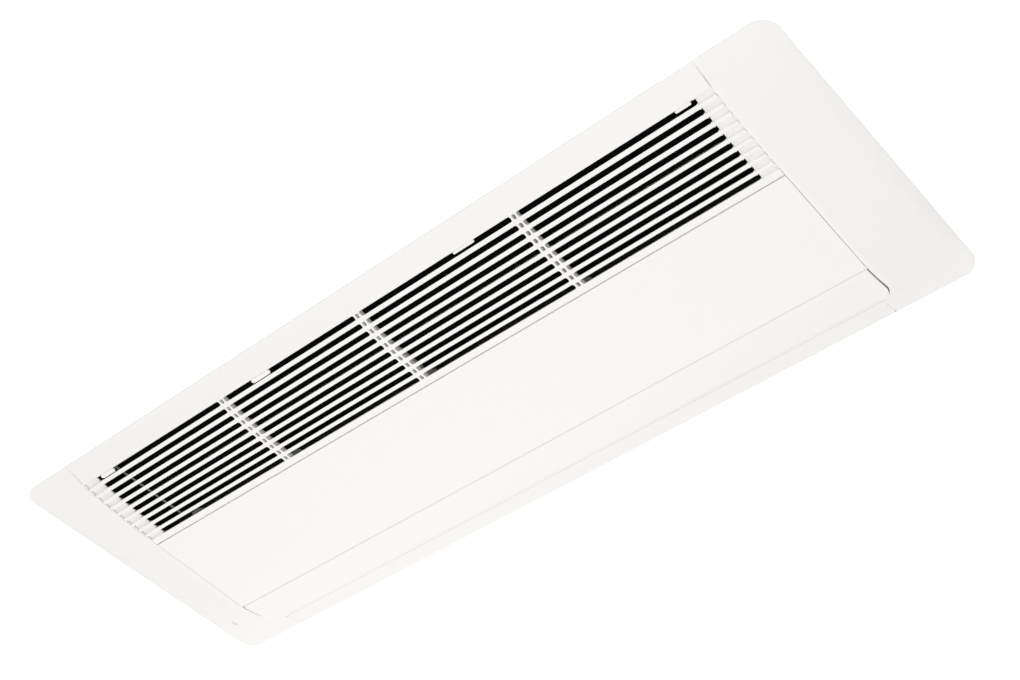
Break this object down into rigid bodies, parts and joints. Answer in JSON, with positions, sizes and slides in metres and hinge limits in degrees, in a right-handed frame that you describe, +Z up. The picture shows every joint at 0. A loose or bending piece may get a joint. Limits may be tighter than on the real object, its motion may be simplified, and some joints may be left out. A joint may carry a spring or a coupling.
{
  "type": "one-way ceiling cassette air conditioner",
  "caption": "Long one-way ceiling cassette air conditioner: pale moulded panel with slotted intake grille, closed middle strip and a full-length air vane, under a flat steel housing.",
  "frame": {"origin": "on the underside of the flange of the first hanger bracket, between the housing's end wall and the bracket's slot", "axes": "+X along the length of the panel, +Y from the intake side to the outlet side, +Z up, as installed with the panel facing down"},
  "size_m": [1.42, 0.5, 0.1681],
  "materials": {
    "panel_plastic": "fine matt warm white moulding",
    "filter_mesh": "dark woven filter mesh",
    "dark_plastic": "moulded black plastic",
    "lens_plastic": "smooth grey lens",
    "sheet_steel": "zinc-coated sheet steel",
    "foam": "moulded foam, black",
    "copper": "bright drawn copper tube",
    "brass": "machined brass",
    "grey_plastic": "moulded grey plastic"
  },
  "bodies": {
    "root": {"air_filter_left": "grey_plastic", "air_filter_right": "grey_plastic", "base_frame": "dark_plastic", "cable_gland": "dark_plastic", "centre_panel": "panel_plastic", "control_cover": "sheet_steel", "drain_spigot": "grey_plastic", "end_cap_left": "panel_plastic", "end_cap_right": "panel_plastic", "filter_mesh_left": "filter_mesh", "filter_mesh_right": "filter_mesh", "foam_body": "foam", "foam_end_left": "foam", "foam_end_right": "foam", "gas_pipe": "copper", "gas_pipe_nut": "brass", "hanger_bracket_1": "sheet_steel", "hanger_bracket_2": "sheet_steel", "hanger_bracket_3": "sheet_steel", "hanger_bracket_4": "sheet_steel", "hinge_hook_1": "grey_plastic", "hinge_hook_2": "grey_plastic", "hinge_hook_3": "grey_plastic", "hinge_hook_4": "grey_plastic", "housing_intake_wall": "sheet_steel", "housing_left_wall": "sheet_steel", "housing_outlet_wall": "sheet_steel", "housing_right_wall": "sheet_steel", "housing_top": "sheet_steel", "indicator_lens": "lens_plastic", "liquid_pipe": "copper", "liquid_pipe_nut": "brass", "outlet_duct": "panel_plastic", "outlet_lip": "panel_plastic"},
    "grille": {"intake_grille": "panel_plastic", "grille_latch_1": "panel_plastic", "grille_latch_2": "panel_plastic", "grille_latch_3": "panel_plastic", "grille_latch_4": "panel_plastic"},
    "vane": {"vane": "panel_plastic"}
  },
  "joints": [
    {"name": "grille_hinge", "type": "hinge", "parent": "root", "child": "grille", "pos_m": [0.596, 0.0885, -0.0857], "axis": [1, 0, 0], "range_deg": [0, 80]},
    {"name": "vane_hinge", "type": "hinge", "parent": "root", "child": "vane", "pos_m": [0.596, 0.2835, -0.09159], "axis": [-1, 0, 0], "range_deg": [0, 70]}
  ]
}
